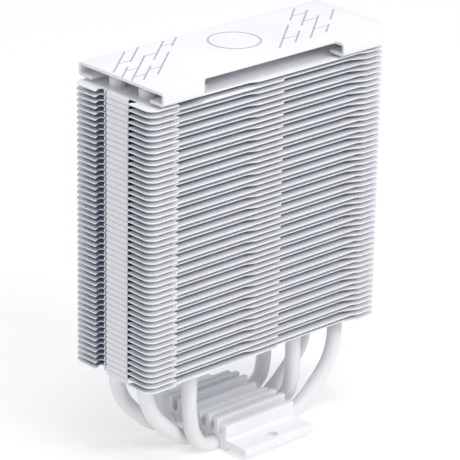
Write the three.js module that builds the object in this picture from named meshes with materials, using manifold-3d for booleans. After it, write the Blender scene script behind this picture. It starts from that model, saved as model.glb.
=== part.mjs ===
// CPU tower cooler: a white heat-pipe heatsink without a fan.
//
// Frame: millimetres, +Z up, origin at the middle of the contact face under the
// base. X runs along the wide side of the fins, Y along the narrow side.
//
// Pieces: 50 stacked fin sheets (fin_01 on top), 4 bent heat pipes, one ridged
// base block with a screw ledge on both sides, one folded sheet cover on top.
// Everything is press-fitted or crimped together on the real cooler, so nothing
// moves.

import * as THREE from "three";
import { mergeVertices } from "three/addons/utils/BufferGeometryUtils.js";
import Module from "manifold-3d";

const wasm = await Module();
wasm.setup();

// ---------------------------------------------------------------- dimensions
const HEIGHT = 154.0; // contact face to the top of the cover

// fins
const FIN_COUNT = 50;
const FIN_T = 0.5; // sheet thickness
const FIN_TOP_Z = 147.3; // middle plane of the top fin
const FIN_BOTTOM_Z = 37.4; // middle plane of the bottom fin
const FIN_PITCH = (FIN_TOP_Z - FIN_BOTTOM_Z) / (FIN_COUNT - 1);
const FIN_HX = 58.9; // half length
const FIN_HY = 22.05; // half depth
const FIN_CORNER = 3.0; // corner cut
const SHALLOW = 1.25; // shallow recess along the long edge
const DEEP = 2.8; // deep recess along the long edge
const RECESS_START = 45.6; // where the recess steps in
const DEEP_IN = 7.2; // where the deep part of the first profile starts
const DEEP_OUT = 41.9; // where its slope back out starts
const SLOPE_END = 48.5; // where the slope reaches the full depth
const DEEP_IN_B = -9.5; // second profile: end of the deep part
const SHALLOW_IN_B = -5.4; // second profile: start of the shallow part
const SHALLOW_OUT_B = 46.2; // second profile: end of the shallow part
const TAB_X = 56.2; // outer face of the folded tabs
const TAB_HY = 6.0; // half width of a tab
const NOTCH = [
  [58.9, 9.0], [57.6, 9.45], [56.0, 10.3], [54.9, 9.7], [54.9, 6.5], [56.2, 6.5],
]; // the notch beside a tab, from the short edge inwards
const TAB_DROP = FIN_PITCH - FIN_T - 0.06; // how far a tab hangs below its fin

// heat pipes
const PIPE_R = 3.0; // Ø6
const PIPE_SIDES = 12;
const LEG_OUTER_X = 49.1;
const LEG_INNER_X = 27.0;
const LEG_Y = 8.2;
const CHANNEL_Y = [-12.6, -4.1, 4.1, 12.6];
const CHANNEL_Z = 1.7; // pipe axis above the contact face
const OUTER_TOP_Z = 150.4; // the outer legs stand up through the top fin
const INNER_TOP_Z = 144.8; // the inner legs end below it
const TIP_HEIGHT = 2.0; // crimped tip over the straight part
const HOLE_R = 3.3; // across-flats half size of a leg's hole in a fin

// base block
const BASE_HX = 17.7;
const BASE_HY = 19.2;
const LEDGE_HY = 30.5;
const LEDGE_Z0 = 1.5;
const LEDGE_Z1 = 4.9;
const RIDGE_T = 2.3;
const RIDGE_Y = [3.1, 8.25, 13.05];
const RIDGE_Z = [10.9, 12.1, 12.0];
const WALL_Z = 10.5; // the outermost ridge, over the ledge
const GROOVE_Z = 7.1;
const CHANNEL_CLEAR = 0.3;
const SCREW_Y = 25.9;
const SCREW_R = 2.0;

// top cover
const COVER_X0 = -54.5;
const COVER_X1 = 64.7;
const COVER_HY = 23.6;
const COVER_T = 1.1;
const COVER_Z0 = 148.75; // underside of the lips
const LIP_HY = 16.2; // inner edge of the lips
const COVER_BEND = 1.4; // outer bend radius
const COVER_CHAMFER = 10.8; // cut corner at +X, -Y
const WINDOW_X0 = -30.0;
const WINDOW_X1 = 34.4;
const WINDOW_Y = -18.3; // the window in the -Y side reaches in to here
const WINDOW_SLANT = 5.4; // its -X end runs this much outwards on its way to the side

// ---------------------------------------------------------------- materials
const fin_paint = new THREE.MeshStandardMaterial({ color: 0xf1f2f6, roughness: 0.5, metalness: 0.1 });
const pipe_paint = new THREE.MeshStandardMaterial({ color: 0xe9e9ea, roughness: 0.35, metalness: 0.1 });
const base_paint = new THREE.MeshStandardMaterial({ color: 0xeeeef2, roughness: 0.45, metalness: 0.15 });
const cover_paint = new THREE.MeshStandardMaterial({ color: 0xf6f6fa, roughness: 0.4, metalness: 0.1 });

// ---------------------------------------------------------------- helpers
function toSolid(geometry) {
  const g = geometry.index ? geometry.clone() : geometry.clone();
  g.deleteAttribute("normal");
  if (g.attributes.uv) g.deleteAttribute("uv");
  const m = mergeVertices(g, 1e-4);
  return new wasm.Manifold(
    new wasm.Mesh({
      numProp: 3,
      vertProperties: Float32Array.from(m.attributes.position.array),
      triVerts: Uint32Array.from(m.index.array),
    })
  );
}

function toGeometry(solid) {
  const mesh = solid.getMesh();
  const g = new THREE.BufferGeometry();
  g.setAttribute("position", new THREE.BufferAttribute(Float32Array.from(mesh.vertProperties), 3));
  g.setIndex(new THREE.BufferAttribute(Uint32Array.from(mesh.triVerts), 1));
  g.computeVertexNormals();
  return g;
}

// a box between two corners
function box(x0, x1, y0, y1, z0, z1) {
  const g = new THREE.BoxGeometry(x1 - x0, y1 - y0, z1 - z0);
  g.translate((x0 + x1) / 2, (y0 + y1) / 2, (z0 + z1) / 2);
  return toSolid(g);
}

// an upright plate: a plan outline between two heights
function plate(outline, holes, z0, z1) {
  const shape = new THREE.Shape(outline.map((p) => new THREE.Vector2(p[0], p[1])));
  for (const h of holes) shape.holes.push(new THREE.Path(h.map((p) => new THREE.Vector2(p[0], p[1]))));
  const g = new THREE.ExtrudeGeometry(shape, { depth: z1 - z0, bevelEnabled: false, steps: 1 });
  g.translate(0, 0, z0);
  return g;
}

// a bar along X with its section given in Y and Z
function bar(section, x0, x1) {
  const shape = new THREE.Shape(section.map((p) => new THREE.Vector2(p[0], p[1])));
  const g = new THREE.ExtrudeGeometry(shape, { depth: x1 - x0, bevelEnabled: false, steps: 1 });
  // section x -> Y, section y -> Z, depth -> X
  g.applyMatrix4(new THREE.Matrix4().makeBasis(new THREE.Vector3(0, 1, 0), new THREE.Vector3(0, 0, 1), new THREE.Vector3(1, 0, 0)));
  g.translate(x0, 0, 0);
  return g;
}

function polygon(cx, cy, halfFlat, sides) {
  const r = halfFlat / Math.cos(Math.PI / sides);
  const pts = [];
  for (let i = 0; i < sides; i++) {
    const a = (2 * Math.PI * (i + 0.5)) / sides;
    pts.push([cx + r * Math.cos(a), cy + r * Math.sin(a)]);
  }
  return pts;
}

const group = new THREE.Group();
function add(name, geometry, material) {
  const mesh = new THREE.Mesh(geometry, material);
  mesh.name = name;
  group.add(mesh);
  return mesh;
}

// ---------------------------------------------------------------- fins
// Long edge of a fin, seen from -Y and read along +X, as [x, inset] pairs. The
// two profiles alternate down the stack. Each one is the other turned half a
// turn about the vertical axis, so the far edge is the near edge of the other.
const EDGE_A = [
  [-RECESS_START, 0], [-RECESS_START, SHALLOW], [DEEP_IN, SHALLOW],
  [DEEP_IN, DEEP], [DEEP_OUT, DEEP], [SLOPE_END, 0],
];
const EDGE_B = [
  [-RECESS_START, 0], [-RECESS_START, DEEP], [DEEP_IN_B, DEEP],
  [SHALLOW_IN_B, SHALLOW], [SHALLOW_OUT_B, SHALLOW], [SLOPE_END, 0],
];

function finOutline(near, far) {
  const c = FIN_CORNER;
  const o = [];
  // near long edge, left to right
  o.push([-FIN_HX + c, -FIN_HY]);
  for (const [x, d] of near) o.push([x, -FIN_HY + d]);
  o.push([FIN_HX - c, -FIN_HY]);
  o.push([FIN_HX, -FIN_HY + c]);
  // right short edge with the notch on both sides of its tab
  for (const [x, y] of NOTCH) o.push([x, -y]);
  for (const [x, y] of [...NOTCH].reverse()) o.push([x, y]);
  o.push([FIN_HX, FIN_HY - c]);
  o.push([FIN_HX - c, FIN_HY]);
  // far long edge, right to left
  for (const [x, d] of far) o.push([-x, FIN_HY - d]);
  o.push([-FIN_HX + c, FIN_HY]);
  o.push([-FIN_HX, FIN_HY - c]);
  for (const [x, y] of NOTCH) o.push([-x, y]);
  for (const [x, y] of [...NOTCH].reverse()) o.push([-x, -y]);
  o.push([-FIN_HX, -FIN_HY + c]);
  return o;
}

for (let k = 1; k <= FIN_COUNT; k++) {
  const z = FIN_TOP_Z - (k - 1) * FIN_PITCH;
  const outline = k % 2 ? finOutline(EDGE_B, EDGE_A) : finOutline(EDGE_A, EDGE_B);
  // leg holes: eight-sided where they are seen, square inside the stack
  const sides = k === 1 || k === FIN_COUNT ? 8 : 4;
  const holes = [];
  for (const sx of [-1, 1])
    for (const sy of [-1, 1])
      for (const x of k === 1 ? [LEG_OUTER_X] : [LEG_INNER_X, LEG_OUTER_X])
        holes.push(polygon(sx * x, sy * LEG_Y, HOLE_R, sides).reverse());
  let solid = toSolid(plate(outline, holes, z - FIN_T / 2, z + FIN_T / 2));
  // a tab folded down at each short edge closes the side of the stack
  for (const s of [-1, 1]) {
    const xa = s * TAB_X;
    const xb = s * (TAB_X - FIN_T);
    solid = solid.add(box(Math.min(xa, xb), Math.max(xa, xb), -TAB_HY, TAB_HY, z - FIN_T / 2 - TAB_DROP, z));
  }
  add("fin_" + String(k).padStart(2, "0"), toGeometry(solid), fin_paint);
}

// ---------------------------------------------------------------- heat pipes
// Each pipe runs up one inner leg and one outer leg and lies in a channel of
// the base between them.
class PipePath extends THREE.Curve {
  constructor(points) {
    super();
    this.points = points;
  }
  getPointAt(u, target = new THREE.Vector3()) {
    const i = Math.min(this.points.length - 1, Math.max(0, Math.round(u * (this.points.length - 1))));
    return target.copy(this.points[i]);
  }
  getTangentAt(u, target = new THREE.Vector3()) {
    const n = this.points.length - 1;
    const i = Math.round(u * n);
    const a = this.points[Math.max(0, i - 1)];
    const b = this.points[Math.min(n, i + 1)];
    return target.copy(b).sub(a).normalize();
  }
}

function pipePoints(side, legY, channelY) {
  const d = channelY - legY;
  const P = (x, w, z) => new THREE.Vector3(x, legY + d * w, z);
  const s = side; // the inner leg stands on this side
  const innerBend = [
    [27.0, 0, 19.0], [27.0, 0.12, 14.0], [27.0, 0.45, 8.6], [26.2, 0.84, 5.1],
    [24.0, 0.97, 2.9], [20.6, 1, 1.8], [17.0, 1, CHANNEL_Z],
  ];
  const outerBend = [
    [17.0, 1, CHANNEL_Z], [20.8, 1, 1.8], [25.7, 1, 3.2], [30.2, 1, 6.1], [34.4, 1, 9.8],
    [38.5, 1, 13.8], [42.1, 0.99, 18.4], [44.8, 0.92, 24.0], [46.9, 0.62, 29.6],
    [48.4, 0.22, 33.4], [49.1, 0, 36.3],
  ];
  const pts = [];
  pts.push(P(s * LEG_INNER_X, 0, INNER_TOP_Z));
  for (const [x, w, z] of innerBend) pts.push(P(s * x, w, z));
  for (const [x, w, z] of outerBend) pts.push(P(-s * x, w, z));
  pts.push(P(-s * LEG_OUTER_X, 0, OUTER_TOP_Z));
  return pts;
}

function pipeSolid(side, legY, channelY) {
  const pts = pipePoints(side, legY, channelY);
  const section = new THREE.Shape(polygon(0, 0, PIPE_R, PIPE_SIDES).map((p) => new THREE.Vector2(p[0], p[1])));
  const path = new PipePath(pts);
  const g = new THREE.ExtrudeGeometry(section, { steps: pts.length - 1, bevelEnabled: false, extrudePath: path });
  let solid = toSolid(g);
  // crimped tips
  for (const [x, z] of [[side * LEG_INNER_X, INNER_TOP_Z], [-side * LEG_OUTER_X, OUTER_TOP_Z]]) {
    const tip = new THREE.LatheGeometry(
      [[0, z - 1], [2.6, z - 1], [2.6, z + 0.2], [1.5, z + TIP_HEIGHT - 0.4], [0.9, z + TIP_HEIGHT], [0, z + TIP_HEIGHT]].map(
        (p) => new THREE.Vector2(p[0], p[1])
      ),
      10
    );
    // lathe axis Y -> Z
    tip.applyMatrix4(new THREE.Matrix4().makeRotationX(Math.PI / 2));
    tip.translate(x, legY, 0);
    solid = solid.add(toSolid(tip));
  }
  // the underside is machined flat, flush with the contact face
  return solid.subtract(box(-70, 70, -30, 30, -6, 0));
}

add("heat_pipe_1", toGeometry(pipeSolid(-1, -LEG_Y, CHANNEL_Y[0])), pipe_paint);
add("heat_pipe_2", toGeometry(pipeSolid(1, -LEG_Y, CHANNEL_Y[1])), pipe_paint);
add("heat_pipe_3", toGeometry(pipeSolid(-1, LEG_Y, CHANNEL_Y[2])), pipe_paint);
add("heat_pipe_4", toGeometry(pipeSolid(1, LEG_Y, CHANNEL_Y[3])), pipe_paint);

// ---------------------------------------------------------------- base block
function baseSection() {
  const s = [];
  // contact face, -Y to +Y, with an open channel for each pipe
  s.push([-BASE_HY, 0]);
  for (const y of CHANNEL_Y) {
    const r = PIPE_R + CHANNEL_CLEAR;
    const n = 8;
    const dz = -CHANNEL_Z;
    const a0 = Math.asin(dz / r);
    // from the left foot of the channel over its round top to the right foot
    for (let i = 0; i <= n; i++) {
      const a = Math.PI - a0 + ((2 * a0 - Math.PI) * i) / n;
      const rr = i === 0 || i === n ? r : r / Math.cos((Math.PI - 2 * a0) / n / 2);
      s.push([y + rr * Math.cos(a), i === 0 || i === n ? 0 : CHANNEL_Z + rr * Math.sin(a)]);
    }
  }
  s.push([BASE_HY, 0]);
  // ledge on +Y
  s.push([BASE_HY, LEDGE_Z0], [LEDGE_HY, LEDGE_Z0], [LEDGE_HY, LEDGE_Z1], [BASE_HY, LEDGE_Z1]);
  // ridges, +Y to -Y
  const tops = [];
  tops.push([BASE_HY - RIDGE_T, BASE_HY, WALL_Z]);
  for (let i = RIDGE_Y.length - 1; i >= 0; i--) tops.push([RIDGE_Y[i] - RIDGE_T / 2, RIDGE_Y[i] + RIDGE_T / 2, RIDGE_Z[i]]);
  const all = tops.concat(tops.map((t) => [-t[1], -t[0], t[2]]).reverse());
  all.forEach(([a, b, z], i) => {
    if (i > 0) s.push([b, GROOVE_Z]);
    s.push([b, z], [a, z]);
    if (i < all.length - 1) s.push([a, GROOVE_Z]);
  });
  // ledge on -Y
  s.push([-BASE_HY, LEDGE_Z1], [-LEDGE_HY, LEDGE_Z1], [-LEDGE_HY, LEDGE_Z0], [-BASE_HY, LEDGE_Z0]);
  return s;
}

let base = toSolid(bar(baseSection(), -BASE_HX, BASE_HX));
for (const s of [-1, 1]) {
  const hole = new THREE.CylinderGeometry(SCREW_R, SCREW_R, 12, 16);
  hole.rotateX(Math.PI / 2);
  hole.translate(0, s * SCREW_Y, 3);
  base = base.subtract(toSolid(hole));
}
add("base_block", toGeometry(base), base_paint);

// ---------------------------------------------------------------- top cover
// C section: top plate, a side on each long edge and a lip folded in under it.
function coverSection() {
  const R = COVER_BEND;
  const r = R - COVER_T;
  const arc = (cy, cz, rad, a0, a1, n) => {
    const out = [];
    for (let i = 0; i <= n; i++) {
      const a = a0 + ((a1 - a0) * i) / n;
      out.push([cy + rad * Math.cos(a), cz + rad * Math.sin(a)]);
    }
    return out;
  };
  const H = Math.PI / 2;
  const zt = HEIGHT;
  const zb = COVER_Z0;
  const outer = [
    ...arc(COVER_HY - R, zt - R, R, H, 0, 3),
    ...arc(COVER_HY - R, zb + R, R, 0, -H, 3),
    [LIP_HY, zb],
    [LIP_HY, zb + COVER_T],
    ...arc(COVER_HY - R, zb + R, r, -H, 0, 2),
    ...arc(COVER_HY - R, zt - R, r, 0, H, 2),
  ];
  const mirrored = outer.map(([y, z]) => [-y, z]).reverse();
  // go round: right outer (top to lip), inside to the right, then mirrored side
  return outer.concat(mirrored);
}

{
  let section = coverSection();
  const area = THREE.ShapeUtils.area(section.map((p) => new THREE.Vector2(p[0], p[1])));
  if (area < 0) section = section.reverse();
  let cover = toSolid(bar(section, COVER_X0, COVER_X1));
  // a window in the -Y side: plate, side and lip are cut away, with a slanted end at -X
  const slope = WINDOW_SLANT / (COVER_HY + WINDOW_Y);
  for (const [y, z0, z1] of [[WINDOW_Y, 151, 160], [-LIP_HY + 3, 146, 152]]) {
    const x = WINDOW_X0 + (y - WINDOW_Y) * slope;
    const xs = WINDOW_X0 - WINDOW_SLANT - slope;
    cover = cover.subtract(
      toSolid(plate([[x, y], [xs, -COVER_HY - 1], [xs, -40], [WINDOW_X1, -40], [WINDOW_X1, y]], [], z0, z1))
    );
  }
  // cut corner at +X, -Y
  const cut = plate(
    [
      [COVER_X1 - COVER_CHAMFER, -COVER_HY - 1e-3],
      [COVER_X1 - COVER_CHAMFER, -COVER_HY - 20],
      [COVER_X1 + 20, -COVER_HY - 20],
      [COVER_X1 + 20, -COVER_HY + COVER_CHAMFER],
      [COVER_X1 + 1e-3, -COVER_HY + COVER_CHAMFER],
    ],
    [],
    140,
    160
  );
  cover = cover.subtract(toSolid(cut));
  add("top_cover", toGeometry(cover), cover_paint);
}

export default group;
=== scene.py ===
"""CPU tower cooler: the visible model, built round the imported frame.

All shapes are made in millimetres in the row frame (X along the wide side of
the fins, Y along the narrow side, Z up from the contact face) and scaled to
metres when a mesh is made.
"""

import math

import bmesh
import bpy
from mathutils import Matrix, Vector
from mathutils.geometry import tessellate_polygon


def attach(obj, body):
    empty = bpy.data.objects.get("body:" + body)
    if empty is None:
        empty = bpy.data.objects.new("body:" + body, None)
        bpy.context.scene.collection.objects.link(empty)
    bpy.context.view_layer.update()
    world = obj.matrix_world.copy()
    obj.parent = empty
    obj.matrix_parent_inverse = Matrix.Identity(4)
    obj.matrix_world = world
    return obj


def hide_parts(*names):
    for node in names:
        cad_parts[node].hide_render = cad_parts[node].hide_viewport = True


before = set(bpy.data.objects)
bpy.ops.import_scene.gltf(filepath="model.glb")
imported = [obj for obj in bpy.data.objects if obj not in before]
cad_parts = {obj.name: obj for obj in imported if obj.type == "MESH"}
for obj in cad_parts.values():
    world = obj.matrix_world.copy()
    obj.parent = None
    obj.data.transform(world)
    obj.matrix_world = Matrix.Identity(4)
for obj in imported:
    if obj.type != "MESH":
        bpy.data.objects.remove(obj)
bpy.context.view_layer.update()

MM = 0.001
scene = bpy.context.scene


# --------------------------------------------------------------------- camera
def make_camera():
    cam = bpy.data.cameras.new("camera")
    obj = bpy.data.objects.new("camera", cam)
    scene.collection.objects.link(obj)
    right = Vector((0.74013, -0.67226, 0.01683)).normalized()
    back = Vector((-0.62796, -0.68198, 0.37494)).normalized()
    up = back.cross(right).normalized()
    right = up.cross(back).normalized()
    m = Matrix.Identity(4)
    for i in range(3):
        m[i][0], m[i][1], m[i][2] = right[i], up[i], back[i]
    m.translation = Vector((-0.6655, -0.7228, 0.4783))
    obj.matrix_world = m
    cam.sensor_width = 36
    cam.lens = 218.41
    cam.clip_start = 0.02
    cam.clip_end = 50
    scene.camera = obj


make_camera()


# ------------------------------------------------------------------ materials
def paint(
    name,
    colour,
    warm,
    rough=(0.42, 0.54),
    grain=2600.0,
    grain_depth=0.000012,
    mottle=38.0,
    streak=None,
    worn=None,
    speck=0.35,
    painted_shade=None,
):
    """Powder coat on sheet metal: a fine orange peel, a slow drift in colour and
    gloss, and, where asked, drawn streaks under the paint, thin paint on edges and a painted shade that darkens the
    colour inwards from the outline."""
    m = bpy.data.materials.new(name)
    m.use_nodes = True
    nt = m.node_tree
    nt.nodes.clear()
    n, l = nt.nodes.new, nt.links.new
    out = n("ShaderNodeOutputMaterial")
    bsdf = n("ShaderNodeBsdfPrincipled")
    l(bsdf.outputs["BSDF"], out.inputs["Surface"])
    tc = n("ShaderNodeTexCoord")

    drift = n("ShaderNodeTexNoise")
    drift.inputs["Scale"].default_value = mottle
    drift.inputs["Detail"].default_value = 4
    l(tc.outputs["Object"], drift.inputs["Vector"])

    ramp = n("ShaderNodeValToRGB")
    ramp.color_ramp.elements[0].position = 0.32
    ramp.color_ramp.elements[1].position = 0.68
    ramp.color_ramp.elements[0].color = (*warm, 1)
    ramp.color_ramp.elements[1].color = (*colour, 1)
    l(drift.outputs["Fac"], ramp.inputs["Fac"])

    # pigment specks, far smaller than the drift
    dots = n("ShaderNodeTexNoise")
    dots.inputs["Scale"].default_value = grain * 0.6
    dots.inputs["Detail"].default_value = 2
    l(tc.outputs["Object"], dots.inputs["Vector"])
    dots_map = n("ShaderNodeMapRange")
    dots_map.inputs["From Min"].default_value = 0.3
    dots_map.inputs["From Max"].default_value = 0.7
    dots_map.inputs["To Min"].default_value = 1.0 - 0.05 * speck
    dots_map.inputs["To Max"].default_value = 1.0
    l(dots.outputs["Fac"], dots_map.inputs["Value"])
    tint = n("ShaderNodeMix")
    tint.data_type = "RGBA"
    tint.blend_type = "MULTIPLY"
    tint.inputs[0].default_value = 1.0
    l(ramp.outputs["Color"], tint.inputs[6])
    l(dots_map.outputs["Result"], tint.inputs[7])
    colour_out = tint.outputs[2]

    if painted_shade:
        # painted shade: the colour darkens towards a bluish grey inwards from the outline, standing in for the shade
        # between the sheets
        # darker with distance from the outline, set for contrast between the sheets
        split = n("ShaderNodeSeparateXYZ")
        l(tc.outputs["Object"], split.inputs[0])
        inside = []
        for axis, half in (("X", painted_shade["half"][0]), ("Y", painted_shade["half"][1])):
            size = n("ShaderNodeMath")
            size.operation = "ABSOLUTE"
            l(split.outputs[axis], size.inputs[0])
            left = n("ShaderNodeMath")
            left.operation = "SUBTRACT"
            left.inputs[0].default_value = half
            l(size.outputs[0], left.inputs[1])
            if axis == "X":
                # darkens faster from the short sides, by a given factor
                scaled = n("ShaderNodeMath")
                scaled.operation = "MULTIPLY"
                scaled.inputs[1].default_value = painted_shade["short_side"]
                l(left.outputs[0], scaled.inputs[0])
                left = scaled
            inside.append(left)
        nearest = n("ShaderNodeMath")
        nearest.operation = "MINIMUM"
        l(inside[0].outputs[0], nearest.inputs[0])
        l(inside[1].outputs[0], nearest.inputs[1])
        reach = n("ShaderNodeMapRange")
        reach.inputs["From Min"].default_value = painted_shade["from"]
        reach.inputs["From Max"].default_value = painted_shade["to"]
        reach.inputs["To Min"].default_value = 0.0
        reach.inputs["To Max"].default_value = 1.0
        l(nearest.outputs[0], reach.inputs["Value"])
        painted_shade_mix = n("ShaderNodeMix")
        painted_shade_mix.data_type = "RGBA"
        painted_shade_mix.blend_type = "MULTIPLY"
        l(reach.outputs["Result"], painted_shade_mix.inputs[0])
        l(colour_out, painted_shade_mix.inputs[6])
        painted_shade_mix.inputs[7].default_value = (*painted_shade["colour"], 1)
        colour_out = painted_shade_mix.outputs[2]

    rough_map = n("ShaderNodeMapRange")
    rough_map.inputs["From Min"].default_value = 0.3
    rough_map.inputs["From Max"].default_value = 0.7
    rough_map.inputs["To Min"].default_value = rough[0]
    rough_map.inputs["To Max"].default_value = rough[1]
    l(drift.outputs["Fac"], rough_map.inputs["Value"])
    l(rough_map.outputs["Result"], bsdf.inputs["Roughness"])

    peel = n("ShaderNodeTexNoise")
    peel.inputs["Scale"].default_value = grain
    peel.inputs["Detail"].default_value = 3
    peel.inputs["Roughness"].default_value = 0.55
    l(tc.outputs["Object"], peel.inputs["Vector"])
    bump = n("ShaderNodeBump")
    bump.inputs["Distance"].default_value = grain_depth
    bump.inputs["Strength"].default_value = 0.7
    l(peel.outputs["Fac"], bump.inputs["Height"])
    normal = bump.outputs["Normal"]

    if streak:
        # faint drawn or milled lines along one axis, under the paint
        mapping = n("ShaderNodeMapping")
        mapping.inputs["Scale"].default_value = streak["scale"]
        l(tc.outputs["Object"], mapping.inputs["Vector"])
        lines = n("ShaderNodeTexNoise")
        lines.inputs["Scale"].default_value = 1.0
        lines.inputs["Detail"].default_value = 3
        l(mapping.outputs["Vector"], lines.inputs["Vector"])
        b2 = n("ShaderNodeBump")
        b2.inputs["Distance"].default_value = streak["depth"]
        b2.inputs["Strength"].default_value = 0.6
        l(lines.outputs["Fac"], b2.inputs["Height"])
        l(normal, b2.inputs["Normal"])
        normal = b2.outputs["Normal"]

    if worn:
        # paint pulls thin over sharp edges: they read a little brighter
        bevel = n("ShaderNodeBevel")
        bevel.samples = 3
        bevel.inputs["Radius"].default_value = worn["radius"]
        geo = n("ShaderNodeNewGeometry")
        dot = n("ShaderNodeVectorMath")
        dot.operation = "DOT_PRODUCT"
        l(bevel.outputs["Normal"], dot.inputs[0])
        l(geo.outputs["Normal"], dot.inputs[1])
        edge = n("ShaderNodeMapRange")
        edge.inputs["From Min"].default_value = 0.98
        edge.inputs["From Max"].default_value = 0.80
        edge.inputs["To Min"].default_value = 0.0
        edge.inputs["To Max"].default_value = worn["amount"]
        l(dot.outputs["Value"], edge.inputs["Value"])
        mix = n("ShaderNodeMix")
        mix.data_type = "RGBA"
        l(edge.outputs["Result"], mix.inputs[0])
        l(colour_out, mix.inputs[6])
        mix.inputs[7].default_value = (*worn["colour"], 1)
        colour_out = mix.outputs[2]

    l(colour_out, bsdf.inputs["Base Color"])
    l(normal, bsdf.inputs["Normal"])
    bsdf.inputs["Specular IOR Level"].default_value = 0.45
    bsdf.inputs["Metallic"].default_value = 0.0
    return m


# the fin faces: white powder coat with a painted shade that turns bluish grey inwards from the outline, standing in
# for the shade between the sheets
fin_paint_and_shade = paint(
    "fin_powder_coat_and_painted_shade",
    (0.90, 0.905, 0.92),
    (0.88, 0.885, 0.90),
    rough=(0.40, 0.52),
    grain=3200.0,
    grain_depth=0.000010,
    mottle=60.0,
    painted_shade={"half": (0.0589, 0.0221), "from": 0.0024, "to": 0.0078, "short_side": 3.0, "colour": (0.33, 0.375, 0.47)},
)
fin_edge_paint = paint(
    "fin_edge_coat",
    (0.81, 0.815, 0.83),
    (0.78, 0.785, 0.805),
    rough=(0.34, 0.46),
    grain=3200.0,
    grain_depth=0.000008,
    mottle=60.0,
)
pipe_paint = paint(
    "pipe_paint",
    (0.82, 0.815, 0.81),
    (0.79, 0.785, 0.78),
    rough=(0.30, 0.42),
    grain=2200.0,
    grain_depth=0.000008,
    mottle=45.0,
    streak={"scale": (900.0, 900.0, 60.0), "depth": 0.000006},
)
base_paint = paint(
    "base_paint",
    (0.86, 0.86, 0.865),
    (0.83, 0.83, 0.84),
    rough=(0.38, 0.50),
    grain=2400.0,
    grain_depth=0.000010,
    mottle=50.0,
    streak={"scale": (40.0, 1600.0, 1600.0), "depth": 0.000012},
    worn={"radius": 0.0004, "amount": 0.35, "colour": (0.91, 0.91, 0.912)},
)
cover_paint = paint(
    "cover_powder_coat",
    (0.84, 0.845, 0.86),
    (0.81, 0.815, 0.835),
    rough=(0.38, 0.48),
    grain=2600.0,
    grain_depth=0.000010,
    mottle=30.0,
    worn={"radius": 0.0004, "amount": 0.3, "colour": (0.90, 0.90, 0.91)},
)
line_paint = paint(
    "engraved_line_paint",
    (0.48, 0.48, 0.50),
    (0.44, 0.44, 0.46),
    rough=(0.35, 0.5),
    grain=3500.0,
    grain_depth=0.000008,
    mottle=80.0,
)


# -------------------------------------------------------------------- helpers
def mesh_object(name, verts, faces, materials, slots=None, sharp=32.0):
    """A closed mesh given in millimetres, riding on the one body."""
    me = bpy.data.meshes.new(name)
    me.from_pydata([(x * MM, y * MM, z * MM) for x, y, z in verts], [], faces)
    for mat in materials:
        me.materials.append(mat)
    if slots:
        for p, s in zip(me.polygons, slots):
            p.material_index = s
    bm = bmesh.new()
    bm.from_mesh(me)
    bmesh.ops.recalc_face_normals(bm, faces=bm.faces)
    bm.to_mesh(me)
    bm.free()
    obj = bpy.data.objects.new(name, me)
    scene.collection.objects.link(obj)
    smooth(obj, sharp)
    return obj


def smooth(obj, sharp):
    me = obj.data
    for p in me.polygons:
        p.use_smooth = True
    me.set_sharp_from_angle(angle=math.radians(sharp))


def fillet(points, step=9.0):
    """An outline of (x, y, radius) corners as a list of points, arcs included."""
    out = []
    n = len(points)
    for i, (x, y, r) in enumerate(points):
        p = Vector((x, y))
        a = Vector(points[i - 1][:2])
        b = Vector(points[(i + 1) % n][:2])
        if r <= 0:
            out.append((x, y))
            continue
        u, v = (a - p), (b - p)
        lu, lv = u.length, v.length
        u.normalize()
        v.normalize()
        cosang = max(-1.0, min(1.0, u.dot(v)))
        ang = math.acos(cosang)
        turn = math.pi - ang
        if turn < math.radians(2):
            out.append((x, y))
            continue
        t = r / math.tan(ang / 2)
        limit = 0.48 * min(lu, lv)
        if t > limit:
            r *= limit / t
            t = limit
        p0, p1 = p + u * t, p + v * t
        c = p + (u + v).normalized() * (r / math.sin(ang / 2))
        a0 = math.atan2(p0.y - c.y, p0.x - c.x)
        a1 = math.atan2(p1.y - c.y, p1.x - c.x)
        d = (a1 - a0 + math.pi) % (2 * math.pi) - math.pi
        k = max(2, math.ceil(abs(math.degrees(d)) / step))
        for j in range(k + 1):
            w = a0 + d * j / k
            out.append((c.x + r * math.cos(w), c.y + r * math.sin(w)))
    return out


def inset(loop, b):
    """Each point of an anticlockwise loop, moved inwards by b with mitred corners."""
    out = []
    n = len(loop)
    for i in range(n):
        p = Vector(loop[i])
        a, c = Vector(loop[i - 1]), Vector(loop[(i + 1) % n])
        d0, d1 = (p - a).normalized(), (c - p).normalized()
        n0, n1 = Vector((-d0.y, d0.x)), Vector((-d1.y, d1.x))
        m = n0 + n1
        if m.length < 1e-6:
            m = n0
        m.normalize()
        k = max(0.35, m.dot(n0))
        q = p + m * (b / k)
        out.append((q.x, q.y))
    return out


def boolean(obj, cutter, operation="DIFFERENCE", transfer=False):
    mod = obj.modifiers.new("cut", "BOOLEAN")
    mod.operation = operation
    mod.solver = "EXACT"
    mod.object = cutter
    if transfer:
        mod.material_mode = "TRANSFER"
    apply_modifiers(obj)
    bpy.data.objects.remove(cutter, do_unlink=True)


def apply_modifiers(obj):
    dg = bpy.context.evaluated_depsgraph_get()
    me = bpy.data.meshes.new_from_object(obj.evaluated_get(dg), depsgraph=dg)
    old = obj.data
    obj.modifiers.clear()
    obj.data = me
    me.name = obj.name
    if old.users == 0:
        bpy.data.meshes.remove(old)


def prism(name, outline, z0, z1, mats=None):
    """A closed upright prism from a plan outline, in millimetres."""
    n = len(outline)
    area = sum(
        outline[i][0] * outline[(i + 1) % n][1] - outline[(i + 1) % n][0] * outline[i][1]
        for i in range(n)
    )
    if area < 0:
        outline = outline[::-1]
    verts = [(x, y, z0) for x, y in outline] + [(x, y, z1) for x, y in outline]
    tris = tessellate_polygon([[Vector((x, y, 0)) for x, y in outline]])
    faces = [tuple(t) for t in tris]
    faces += [tuple(n + i for i in t) for t in tris]
    faces += [(i, (i + 1) % n, n + (i + 1) % n, n + i) for i in range(n)]
    return mesh_object(name, verts, faces, mats or [])


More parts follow.
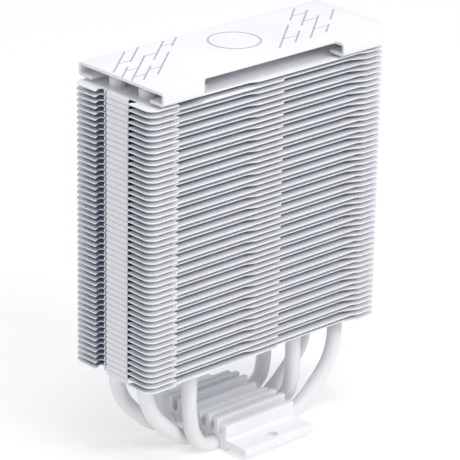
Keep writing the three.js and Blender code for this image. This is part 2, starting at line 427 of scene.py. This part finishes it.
def clean(obj, dist=1e-6):
    bm = bmesh.new()
    bm.from_mesh(obj.data)
    bmesh.ops.remove_doubles(bm, verts=bm.verts, dist=dist)
    bmesh.ops.dissolve_degenerate(bm, edges=bm.edges, dist=dist)
    loose = [v for v in bm.verts if not v.link_faces]
    bmesh.ops.delete(bm, geom=loose, context="VERTS")
    bmesh.ops.recalc_face_normals(bm, faces=bm.faces)
    bm.to_mesh(obj.data)
    bm.free()


def bevel_edges(obj, width, angle=30.0, segments=2):
    mod = obj.modifiers.new("bevel", "BEVEL")
    mod.width = width * MM
    mod.segments = segments
    mod.limit_method = "ANGLE"
    mod.angle_limit = math.radians(angle)
    mod.harden_normals = False
    mod.use_clamp_overlap = True
    apply_modifiers(obj)


# ----------------------------------------------------------------------- fins
FIN_COUNT = 50
FIN_T = 0.5
FIN_TOP_Z = 147.3
FIN_BOTTOM_Z = 37.4
FIN_PITCH = (FIN_TOP_Z - FIN_BOTTOM_Z) / (FIN_COUNT - 1)
FIN_HX = 58.9
FIN_HY = 22.05
FIN_R = 4.0
SHALLOW = 1.25
DEEP = 2.8
TAB_X = 56.2
TAB_HY = 6.0
LEG_OUTER_X = 49.1
LEG_INNER_X = 27.0
LEG_Y = 8.2

EDGE_A = [
    (-45.6, 0, 0.25), (-45.6, SHALLOW, 0.35), (7.2, SHALLOW, 0.9),
    (7.2, DEEP, 0.35), (41.9, DEEP, 2.0), (48.5, 0, 2.0),
]
EDGE_B = [
    (-45.6, 0, 0.25), (-45.6, DEEP, 0.35), (-9.5, DEEP, 1.5),
    (-5.4, SHALLOW, 1.5), (46.2, SHALLOW, 1.5), (48.5, 0, 1.5),
]
BEND_R = 0.35  # middle of the sheet, where a tab folds down
# tongues in each short edge: extent in Y, where the fold starts, how far it hangs
TONGUES = [
    {"y": (-6.0, 6.0), "u": 55.6, "drop": 1.58},
    {"y": (6.95, 7.6), "u": 55.4, "drop": 0.75},
    {"y": (-7.6, -6.95), "u": 55.4, "drop": 0.75},
]
ARC_STEPS = 4


def short_edge(side):
    """The notched short edge from +Y to -Y at -X (side -1) or -Y to +Y at +X (side 1),
    as corners, with each tongue marked among them."""
    corners = []  # (x, y, r) or ("tongue", index, first y, second y)
    s = side
    q = 1 if s < 0 else -1  # the first half runs at +Y on the -X side

    def c(x, y, r):
        corners.append((s * x, q * y, r))

    c(58.9, 8.95, 0.5)
    c(57.4, 9.5, 0.8)
    c(56.1, 10.35, 0.7)
    c(54.9, 10.1, 0.6)
    c(54.7, 7.6, 0.12)
    corners.append(("tongue", 1 if q > 0 else 2, q * 7.6, q * 6.95))
    c(54.7, 6.95, 0.12)
    c(54.7, 6.0, 0.12)
    corners.append(("tongue", 0, q * 6.0, -q * 6.0))
    c(54.7, -6.0, 0.12)
    c(54.7, -9.6, 0.6)
    c(56.1, -10.35, 0.7)
    c(57.4, -9.5, 0.8)
    c(58.9, -8.95, 0.5)
    return corners


def fin_outline(near, far):
    """Anticlockwise corners of a fin's blank, tongues unfolded."""
    o = [(-FIN_HX, -FIN_HY, FIN_R)]
    o += [(x, -FIN_HY + d, r) for x, d, r in near]
    o.append((FIN_HX, -FIN_HY, FIN_R))
    o += short_edge(1)
    o.append((FIN_HX, FIN_HY, FIN_R))
    o += [(-x, FIN_HY - d, r) for x, d, r in far]
    o.append((-FIN_HX, FIN_HY, FIN_R))
    o += short_edge(-1)
    return o


def fin_mesh(near, far, top=False):
    """One fin about its own middle plane: rounded sheet edges, folded tongues,
    drawn collars at the pipe holes. One closed surface. The top fin has plain
    holes, and only for the outer legs."""
    corners = fin_outline(near, far)
    # expand the tongues into stations along the fold
    plain = []
    marks = {}
    for item in corners:
        if item[0] == "tongue":
            _, k, ya, yb = item
            t = TONGUES[k]
            side = 1 if plain[-1][0] > 0 else -1
            arc = BEND_R * math.pi / 2
            us = [t["u"] + arc * j / ARC_STEPS for j in range(ARC_STEPS + 1)]
            end = t["u"] + arc + t["drop"]
            run = [(side * u, ya, 0) for u in us] + [(side * end, ya, 0), (side * end, yb, 0)]
            run += [(side * u, yb, 0) for u in reversed(us)]
            marks[len(plain)] = len(run)
            plain += run
        else:
            plain.append(item)
    # fillets, keeping track of the unrounded tongue points
    loop, tongue_runs = [], []
    n = len(plain)
    i = 0
    rounded = []
    for i, p in enumerate(plain):
        if p[2] > 0:
            a, b = plain[i - 1], plain[(i + 1) % n]
            pts = fillet([(a[0], a[1], 0), p, (b[0], b[1], 0)])
            rounded.append(pts[1:-1])
        else:
            rounded.append([(p[0], p[1])])
    index = []
    for pts in rounded:
        index.append(len(loop))
        loop += pts
    for start, length in marks.items():
        tongue_runs.append((index[start], length))
    N = len(loop)
    b = 0.1
    h = FIN_T / 2
    inner = inset(loop, b)
    rings = [(inner, -h), (loop, -h + b), (loop, h - b), (inner, h)]
    verts = []
    for pts, z in rings:
        verts += [(x, y, z) for x, y in pts]
    faces = []
    for r in range(3):
        for i in range(N):
            j = (i + 1) % N
            faces.append((r * N + i, r * N + j, (r + 1) * N + j, (r + 1) * N + i))
    # the cap's boundary leaves out what lies beyond each fold line
    skip = set()
    for start, length in tongue_runs:
        for k in range(1, length - 1):
            skip.add(start + k)
    keep = [i for i in range(N) if i not in skip]
    # holes
    seg = 28
    hole_rings = [(3.16, -h), (3.06, -h + b), (3.06, h + 1.30), (3.12, h + 1.36), (3.26, h + 1.36),
                  (3.32, h + 1.30), (3.32, h + 0.42), (3.40, h + 0.16), (3.58, h + 0.03), (3.80, h)]
    if top:
        hole_rings = [(3.12, -h), (3.04, -h + 0.06), (3.04, h - 0.06), (3.12, h)]
    rim = len(faces)
    hole_loops_low, hole_loops_high = [], []
    for sx in (-1, 1):
        for sy in (-1, 1):
            for lx in (LEG_OUTER_X,) if top else (LEG_INNER_X, LEG_OUTER_X):
                cx, cy = sx * lx, sy * LEG_Y
                base = len(verts)
                for r, z in hole_rings:
                    for k in range(seg):
                        w = 2 * math.pi * k / seg
                        verts.append((cx + r * math.cos(w), cy + r * math.sin(w), z))
                for q in range(len(hole_rings) - 1):
                    for k in range(seg):
                        k2 = (k + 1) % seg
                        faces.append((base + q * seg + k, base + q * seg + k2,
                                      base + (q + 1) * seg + k2, base + (q + 1) * seg + k))
                hole_loops_low.append([base + k for k in range(seg)])
                last = base + (len(hole_rings) - 1) * seg
                hole_loops_high.append([last + k for k in range(seg)])
    for ring, loops in ((0, hole_loops_low), (3, hole_loops_high)):
        outer = [ring * N + i for i in keep]
        polys = [outer] + [lp[::-1] for lp in loops]
        flat = [i for lp in polys for i in lp]
        tris = tessellate_polygon([[Vector((verts[i][0], verts[i][1], 0)) for i in lp] for lp in polys])
        faces += [tuple(flat[i] for i in t) for t in tris]
        # strips over each tongue
        for start, length in tongue_runs:
            m = length // 2
            for k in range(m - 1):
                a0, a1 = start + k, start + k + 1
                b0, b1 = start + length - 1 - k, start + length - 2 - k
                faces.append((ring * N + a0, ring * N + a1, ring * N + b1, ring * N + b0))
    # fold
    out = []
    tongue_verts = {}
    for start, length in tongue_runs:
        ys = [loop[start + k][1] for k in range(length)]
        for t in TONGUES:
            if abs(max(ys) - t["y"][1]) < 1e-6 and abs(min(ys) - t["y"][0]) < 1e-6:
                for k in range(length):
                    for r in range(4):
                        tongue_verts[r * N + start + k] = t
    for i, (x, y, z) in enumerate(verts):
        t = tongue_verts.get(i)
        if t:
            u = abs(x) - t["u"]
            if u > 0:
                s = 1 if x > 0 else -1
                arc = BEND_R * math.pi / 2
                if u < arc:
                    th = u / BEND_R
                    xx = t["u"] + (BEND_R + z) * math.sin(th)
                    zz = -BEND_R + (BEND_R + z) * math.cos(th)
                else:
                    xx = t["u"] + BEND_R + z
                    zz = -BEND_R - (u - arc)
                out.append((s * xx, y, zz))
                continue
        out.append((x, y, z))
    # the cut edge all round and the folded tabs take a second coat that has none of the painted shade on the faces,
    # so they read lighter; the top sheet takes the cover's coat, also without that painted shade
    slots = [0] * len(faces)
    for f, face in enumerate(faces):
        if top:
            slots[f] = 2
        elif f < rim or all(i in tongue_verts for i in face):
            slots[f] = 1
    return out, faces, slots


def make_fins():
    shapes = {}
    for k in range(1, FIN_COUNT + 1):
        kind = "top" if k == 1 else k % 2
        if kind not in shapes:
            near, far = (EDGE_B, EDGE_A) if k % 2 else (EDGE_A, EDGE_B)
            shapes[kind] = fin_mesh(near, far, top=k == 1)
        verts, faces, slots = shapes[kind]
        z = FIN_TOP_Z - (k - 1) * FIN_PITCH
        name = f"fin_sheet_{k:02d}"
        obj = mesh_object(name, [(x, y, v + z) for x, y, v in verts], faces, [fin_paint_and_shade, fin_edge_paint, cover_paint], slots=slots)
        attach(obj, "root")
        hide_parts(f"fin_{k:02d}")


# ----------------------------------------------------------------- heat pipes
PIPE_R = 3.0
CHANNEL_Y = [-12.6, -4.1, 4.1, 12.6]
CHANNEL_Z = 1.7
OUTER_TOP_Z = 150.4  # the outer legs stand up through the top fin
INNER_TOP_Z = 144.8  # the inner legs end below it
INNER_BEND = [
    (27.0, 0, 19.0), (27.0, 0.12, 14.0), (27.0, 0.45, 8.6), (26.2, 0.84, 5.1),
    (24.0, 0.97, 2.9), (20.6, 1, 1.8), (17.0, 1, CHANNEL_Z),
]
OUTER_BEND = [
    (17.0, 1, CHANNEL_Z), (20.8, 1, 1.8), (25.7, 1, 3.2), (30.2, 1, 6.1), (34.4, 1, 9.8),
    (38.5, 1, 13.8), (42.1, 0.99, 18.4), (44.8, 0.92, 24.0), (46.9, 0.62, 29.6),
    (48.4, 0.22, 33.4), (49.1, 0, 36.3),
]


def catmull(points, per=8):
    """A centripetal curve through the points."""
    pts = [Vector(p) for p in points]
    pts = [pts[0] * 2 - pts[1]] + pts + [pts[-1] * 2 - pts[-2]]
    out = []
    for i in range(1, len(pts) - 2):
        p0, p1, p2, p3 = pts[i - 1 : i + 3]
        t0 = 0.0
        t1 = t0 + (p1 - p0).length ** 0.5
        t2 = t1 + (p2 - p1).length ** 0.5
        t3 = t2 + (p3 - p2).length ** 0.5
        steps = max(2, min(per, int((p2 - p1).length / 0.45)))
        for j in range(steps):
            t = t1 + (t2 - t1) * j / steps
            a1 = p0 * ((t1 - t) / (t1 - t0)) + p1 * ((t - t0) / (t1 - t0))
            a2 = p1 * ((t2 - t) / (t2 - t1)) + p2 * ((t - t1) / (t2 - t1))
            a3 = p2 * ((t3 - t) / (t3 - t2)) + p3 * ((t - t2) / (t3 - t2))
            b1 = a1 * ((t2 - t) / (t2 - t0)) + a2 * ((t - t0) / (t2 - t0))
            b2 = a2 * ((t3 - t) / (t3 - t1)) + a3 * ((t - t1) / (t3 - t1))
            out.append(b1 * ((t2 - t) / (t2 - t1)) + b2 * ((t - t1) / (t2 - t1)))
    out.append(pts[-2])
    return out


def sweep(name, path, radii, sides, mats, floor=None):
    """A closed round tube along a path, with a radius for each point."""
    verts, faces = [], []
    t = (path[1] - path[0]).normalized()
    u = Vector((0, 1, 0))
    u = (u - t * u.dot(t)).normalized()
    for i, p in enumerate(path):
        a, b = path[max(0, i - 1)], path[min(len(path) - 1, i + 1)]
        t = (b - a).normalized()
        u = (u - t * u.dot(t)).normalized()
        v = t.cross(u)
        for k in range(sides):
            w = 2 * math.pi * k / sides
            q = p + (u * math.cos(w) + v * math.sin(w)) * radii[i]
            z = max(q.z, floor) if floor is not None else q.z
            verts.append((q.x, q.y, z))
    for i in range(len(path) - 1):
        for k in range(sides):
            k2 = (k + 1) % sides
            faces.append((i * sides + k, i * sides + k2, (i + 1) * sides + k2, (i + 1) * sides + k))
    n = len(path)
    faces.append(tuple(range(sides))[::-1])
    faces.append(tuple((n - 1) * sides + k for k in range(sides)))
    return mesh_object(name, verts, faces, mats, sharp=40)


# crimped tip: height over the straight leg and radius
TIP = [(0.0, 3.0), (0.36, 2.93), (0.66, 2.74), (0.92, 2.42), (1.13, 2.02), (1.30, 1.66),
       (1.47, 1.42), (1.66, 1.30), (1.82, 1.16), (1.93, 0.92), (2.0, 0.55)]


def make_pipe(number, side, leg_y, channel_y):
    d = channel_y - leg_y
    inner = [(side * x, leg_y + d * w, z) for x, w, z in INNER_BEND]
    outer = [(-side * x, leg_y + d * w, z) for x, w, z in OUTER_BEND]
    bend = catmull([(side * LEG_INNER_X, leg_y, 26.0)] + inner + outer + [(-side * LEG_OUTER_X, leg_y, 40.0)])
    path, radii = [], []
    for z, r in reversed(TIP):
        path.append(Vector((side * LEG_INNER_X, leg_y, INNER_TOP_Z + z)))
        radii.append(r)
    for k in range(1, 12):
        path.append(Vector((side * LEG_INNER_X, leg_y, INNER_TOP_Z + (26.0 - INNER_TOP_Z) * k / 12)))
        radii.append(PIPE_R)
    for p in bend:
        path.append(p)
        radii.append(PIPE_R)
    for k in range(1, 12):
        path.append(Vector((-side * LEG_OUTER_X, leg_y, 40.0 + (OUTER_TOP_Z - 40.0) * k / 12)))
        radii.append(PIPE_R)
    for z, r in TIP:
        path.append(Vector((-side * LEG_OUTER_X, leg_y, OUTER_TOP_Z + z)))
        radii.append(r)
    obj = sweep(f"pipe_tube_{number}", path, radii, 40, [pipe_paint], floor=0.0)
    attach(obj, "root")
    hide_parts(f"heat_pipe_{number}")
    return obj


# ----------------------------------------------------------------- base block
BASE_HX = 17.7
BASE_HY = 19.2
LEDGE_HY = 30.5
LEDGE_Z0 = 1.5
LEDGE_Z1 = 4.9
RIDGE_T = 2.3
RIDGES = [(3.1, 10.9), (8.25, 12.1), (13.05, 12.0)]
WALL_Z = 10.5
GROOVE_Z = 6.6
SCREW_Y = 25.9
SCREW_R = 2.0


def make_base():
    s = []  # (y, z, r) corners, anticlockwise seen from +X
    s.append((-BASE_HY, 0, 0.25))
    for y in CHANNEL_Y:
        r = PIPE_R + 0.06
        a0 = math.asin(-CHANNEL_Z / r)
        n = 18
        for i in range(n + 1):
            a = math.pi - a0 + (2 * a0 - math.pi) * i / n
            s.append((y + r * math.cos(a), CHANNEL_Z + r * math.sin(a) if 0 < i < n else 0.0, 0))
    s.append((BASE_HY, 0, 0.25))
    s += [(BASE_HY, LEDGE_Z0, 0.3), (LEDGE_HY, LEDGE_Z0, 0.35), (LEDGE_HY, LEDGE_Z1, 0.35), (BASE_HY, LEDGE_Z1, 0.5)]
    tops = [(BASE_HY - RIDGE_T, BASE_HY, WALL_Z)]
    tops += [(y - RIDGE_T / 2, y + RIDGE_T / 2, z) for y, z in reversed(RIDGES)]
    tops += [(-b, -a, z) for a, b, z in reversed(tops)]
    for i, (a, b, z) in enumerate(tops):
        if i > 0:
            s.append((b, GROOVE_Z, 1.05))
        s += [(b, z, 0.35), (a, z, 0.35)]
        if i < len(tops) - 1:
            s.append((a, GROOVE_Z, 1.05))
    s += [(-BASE_HY, LEDGE_Z1, 0.5), (-LEDGE_HY, LEDGE_Z1, 0.35), (-LEDGE_HY, LEDGE_Z0, 0.35), (-BASE_HY, LEDGE_Z0, 0.3)]
    loop = fillet(s, step=15)
    n = len(loop)
    b = 0.22
    inner = inset(loop, b)
    x = BASE_HX
    rings = [(inner, -x), (loop, -x + b), (loop, x - b), (inner, x)]
    verts = []
    for pts, xx in rings:
        verts += [(xx, y, max(z, 0.0)) for y, z in pts]
    faces = []
    for r in range(3):
        for i in range(n):
            j = (i + 1) % n
            faces.append((r * n + i, r * n + j, (r + 1) * n + j, (r + 1) * n + i))
    for r in (0, 3):
        tris = tessellate_polygon([[Vector((verts[r * n + i][1], verts[r * n + i][2], 0)) for i in range(n)]])
        faces += [tuple(r * n + i for i in t) for t in tris]
    obj = mesh_object("base_extrusion", verts, faces, [base_paint], sharp=30)
    # screw holes with a small countersink above and below
    for sy in (-1, 1):
        prof = [(SCREW_R + 0.35, LEDGE_Z1 + 0.6), (SCREW_R + 0.35, LEDGE_Z1 + 0.01), (SCREW_R, LEDGE_Z1 - 0.34),
                (SCREW_R, LEDGE_Z0 + 0.3), (SCREW_R + 0.3, LEDGE_Z0), (SCREW_R + 0.3, LEDGE_Z0 - 0.6)]
        seg = 40
        v, f = [], []
        for r, z in prof:
            for k in range(seg):
                w = 2 * math.pi * k / seg
                v.append((r * math.cos(w), sy * SCREW_Y + r * math.sin(w), z))
        for q in range(len(prof) - 1):
            for k in range(seg):
                k2 = (k + 1) % seg
                f.append((q * seg + k, q * seg + k2, (q + 1) * seg + k2, (q + 1) * seg + k))
        f.append(tuple(range(seg)))
        f.append(tuple((len(prof) - 1) * seg + k for k in range(seg)))
        boolean(obj, mesh_object("screw_cut", v, f, [base_paint]))
    clean(obj)
    smooth(obj, 30)
    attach(obj, "root")
    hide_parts("base_block")
    return obj


# ------------------------------------------------------------------ top cover
COVER_X0, COVER_X1 = -54.5, 64.7
COVER_HY = 23.6
COVER_T = 1.1
COVER_TOP = 154.0
COVER_Z0 = 148.75
LIP_HY = 16.2
COVER_BEND = 1.4
COVER_CHAMFER = 10.8
WINDOW = (-30.0, 34.4, -18.3)  # ends in X and how far in it reaches
WINDOW_SLANT = 5.4  # its -X end runs this much outwards on its way to the side


def arc(cx, cy, r, a0, a1, n):
    return [(cx + r * math.cos(a0 + (a1 - a0) * i / n), cy + r * math.sin(a0 + (a1 - a0) * i / n)) for i in range(n + 1)]


def make_cover():
    R, H = COVER_BEND, math.pi / 2
    r = R - COVER_T
    zt, zb, hy = COVER_TOP, COVER_Z0, COVER_HY
    half = [
        *arc(hy - R, zt - R, R, H, 0, 8),
        *arc(hy - R, zb + R, R, 0, -H, 8),
        (LIP_HY, zb), (LIP_HY, zb + COVER_T),
        *arc(hy - R, zb + R, r, -H, 0, 6),
        *arc(hy - R, zt - R, r, 0, H, 6),
    ]
    section = half + [(-y, z) for y, z in reversed(half)]
    n = len(section)
    verts = [(COVER_X0, y, z) for y, z in section] + [(COVER_X1, y, z) for y, z in section]
    faces = [(i, (i + 1) % n, n + (i + 1) % n, n + i) for i in range(n)]
    tris = tessellate_polygon([[Vector((y, z, 0)) for y, z in section]])
    faces += [tuple(t) for t in tris] + [tuple(n + i for i in t) for t in tris]
    obj = mesh_object("cover_sheet", verts, faces, [cover_paint])
    # a window in the -Y side, through plate, side and lip
    x0, x1, wy = WINDOW
    slope = WINDOW_SLANT / (hy + wy)
    xs = x0 - WINDOW_SLANT - slope
    for y, z0, z1 in ((wy, 151.2, 160), (-LIP_HY + 3, 146, 151.5)):
        x = x0 + (y - wy) * slope
        rr = 0.9 if y == wy else 0
        boolean(obj, prism("window_cut", fillet([(x, y, rr), (xs, -hy - 1, 0), (xs, -40, 0), (x1, -40, 0), (x1, y, rr)]), z0, z1))
    # cut corner at +X, -Y
    c = COVER_CHAMFER
    o = [(COVER_X1 - c, -hy), (COVER_X1 - c, -hy - 20), (COVER_X1 + 20, -hy - 20), (COVER_X1 + 20, -hy + c), (COVER_X1, -hy + c)]
    boolean(obj, prism("corner_cut", o, 140, 160))
    clean(obj)
    bevel_edges(obj, 0.14, angle=35, segments=2)
    clean(obj)
    # engraved lines: a generic pattern of slanted strokes with short links
    ang = math.radians(40)
    ca, sa = math.cos(ang), math.sin(ang)

    def at(c_, t_):
        return (t_ * ca - c_ * sa, t_ * sa + c_ * ca)

    strokes = [
        (38.5, -37, -13), (34.5, -42, -30), (34.5, -24, -7), (30.5, -45, -16), (26.5, -43, -27),
        (26.5, -20, 2), (22.5, -36, -10), (22.5, -3, 8),
        (-17, 2, 30), (-17, 36, 51), (-22, 10, 24), (-22, 30, 50), (-27, 16, 44), (-32, 24, 34), (-32, 40, 53),
    ]
    links = [
        (12.0, 38.5, 34.5), (4.0, 34.5, 30.5), (12.6, 30.5, 26.5), (-3.0, 30.5, 26.5), (0.0, 26.5, 22.5),
        (17.5, 26.5, 22.5), (-5.0, -17, -22), (6.0, -22, -27), (-3.5, -27, -32), (13.5, -17, -22),
    ]
    depth = 0.16
    cuts = []
    for c_, t0, t1 in strokes:
        w = 0.34
        cuts.append([at(c_ - w, t0), at(c_ - w, t1), at(c_ + w, t1), at(c_ + w, t0)])
    for y, c0, c1 in links:
        w = 0.2
        xa, xb = (y * ca - c0) / sa, (y * ca - c1) / sa
        cuts.append([(xa, y - w), (xb, y - w), (xb, y + w), (xa, y + w)])
    for o in cuts:
        cut = prism("line_cut", o, COVER_TOP - depth, COVER_TOP + 1, [line_paint])
        boolean(obj, cut, transfer=True)
    # a plain ring
    seg = 72
    v, f = [], []
    prof = [(9.6, COVER_TOP - depth), (10.3, COVER_TOP - depth), (10.3, COVER_TOP + 1), (9.6, COVER_TOP + 1)]
    for rr, z in prof:
        for k in range(seg):
            w = 2 * math.pi * k / seg
            v.append((5.6 + rr * math.cos(w), 5.6 + rr * math.sin(w), z))
    for q in range(4):
        for k in range(seg):
            k2 = (k + 1) % seg
            q2 = (q + 1) % 4
            f.append((q * seg + k, q * seg + k2, q2 * seg + k2, q2 * seg + k))
    boolean(obj, mesh_object("ring_cut", v, f, [line_paint]), transfer=True)
    clean(obj)
    smooth(obj, 30)
    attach(obj, "root")
    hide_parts("top_cover")
    return obj


make_fins()
make_pipe(1, -1, -LEG_Y, CHANNEL_Y[0])
make_pipe(2, 1, -LEG_Y, CHANNEL_Y[1])
make_pipe(3, -1, LEG_Y, CHANNEL_Y[2])
make_pipe(4, 1, LEG_Y, CHANNEL_Y[3])
make_base()
make_cover()


# ------------------------------------------------------------- floor and light
def make_stage():
    size = 6.0
    me = bpy.data.meshes.new("studio_floor")
    me.from_pydata([(-size, -size, 0), (size, -size, 0), (size, size, 0), (-size, size, 0)], [], [(0, 1, 2, 3)])
    floor = bpy.data.objects.new("studio_floor", me)
    scene.collection.objects.link(floor)
    floor.location.z = -0.0002
    m = bpy.data.materials.new("studio_floor")
    m.use_nodes = True
    nt = m.node_tree
    bsdf = nt.nodes["Principled BSDF"]
    noise = nt.nodes.new("ShaderNodeTexNoise")
    noise.inputs["Scale"].default_value = 3.0
    ramp = nt.nodes.new("ShaderNodeValToRGB")
    ramp.color_ramp.elements[0].color = (0.50, 0.50, 0.505, 1)
    ramp.color_ramp.elements[1].color = (0.53, 0.53, 0.53, 1)
    nt.links.new(noise.outputs["Fac"], ramp.inputs["Fac"])
    nt.links.new(ramp.outputs["Color"], bsdf.inputs["Base Color"])
    bsdf.inputs["Roughness"].default_value = 0.9
    bsdf.inputs["Specular IOR Level"].default_value = 0.1
    bsdf.inputs["Emission Color"].default_value = (1, 1, 1, 1)
    bsdf.inputs["Emission Strength"].default_value = 0.50
    me.materials.append(m)

    world = bpy.data.worlds.new("studio")
    world.use_nodes = True
    bg = world.node_tree.nodes["Background"]
    bg.inputs["Color"].default_value = (0.93, 0.955, 1.0, 1)
    bg.inputs["Strength"].default_value = 0.60
    scene.world = world

    def area(name, loc, target, size, power, colour=(1, 1, 1)):
        data = bpy.data.lights.new(name, "AREA")
        data.shape = "RECTANGLE"
        data.size, data.size_y = size
        data.energy = power
        data.color = colour
        o = bpy.data.objects.new(name, data)
        scene.collection.objects.link(o)
        o.location = loc
        d = Vector(target) - Vector(loc)
        o.rotation_euler = d.to_track_quat("-Z", "Y").to_euler()
        return o

    area("front", (0.15, -1.0, 0.98), (0, 0, 0.08), (0.7, 0.5), 7.0)
    area("top", (0.0, -0.15, 1.5), (0, 0, 0.08), (0.7, 0.7), 7.6)
    area("left_high", (-0.55, -0.65, 1.25), (0, 0, 0.08), (0.6, 0.6), 1.2)

    scene.view_settings.view_transform = "Standard"
    scene.view_settings.look = "None"
    scene.view_settings.exposure = 0.0
    scene.view_settings.gamma = 1.0


make_stage()
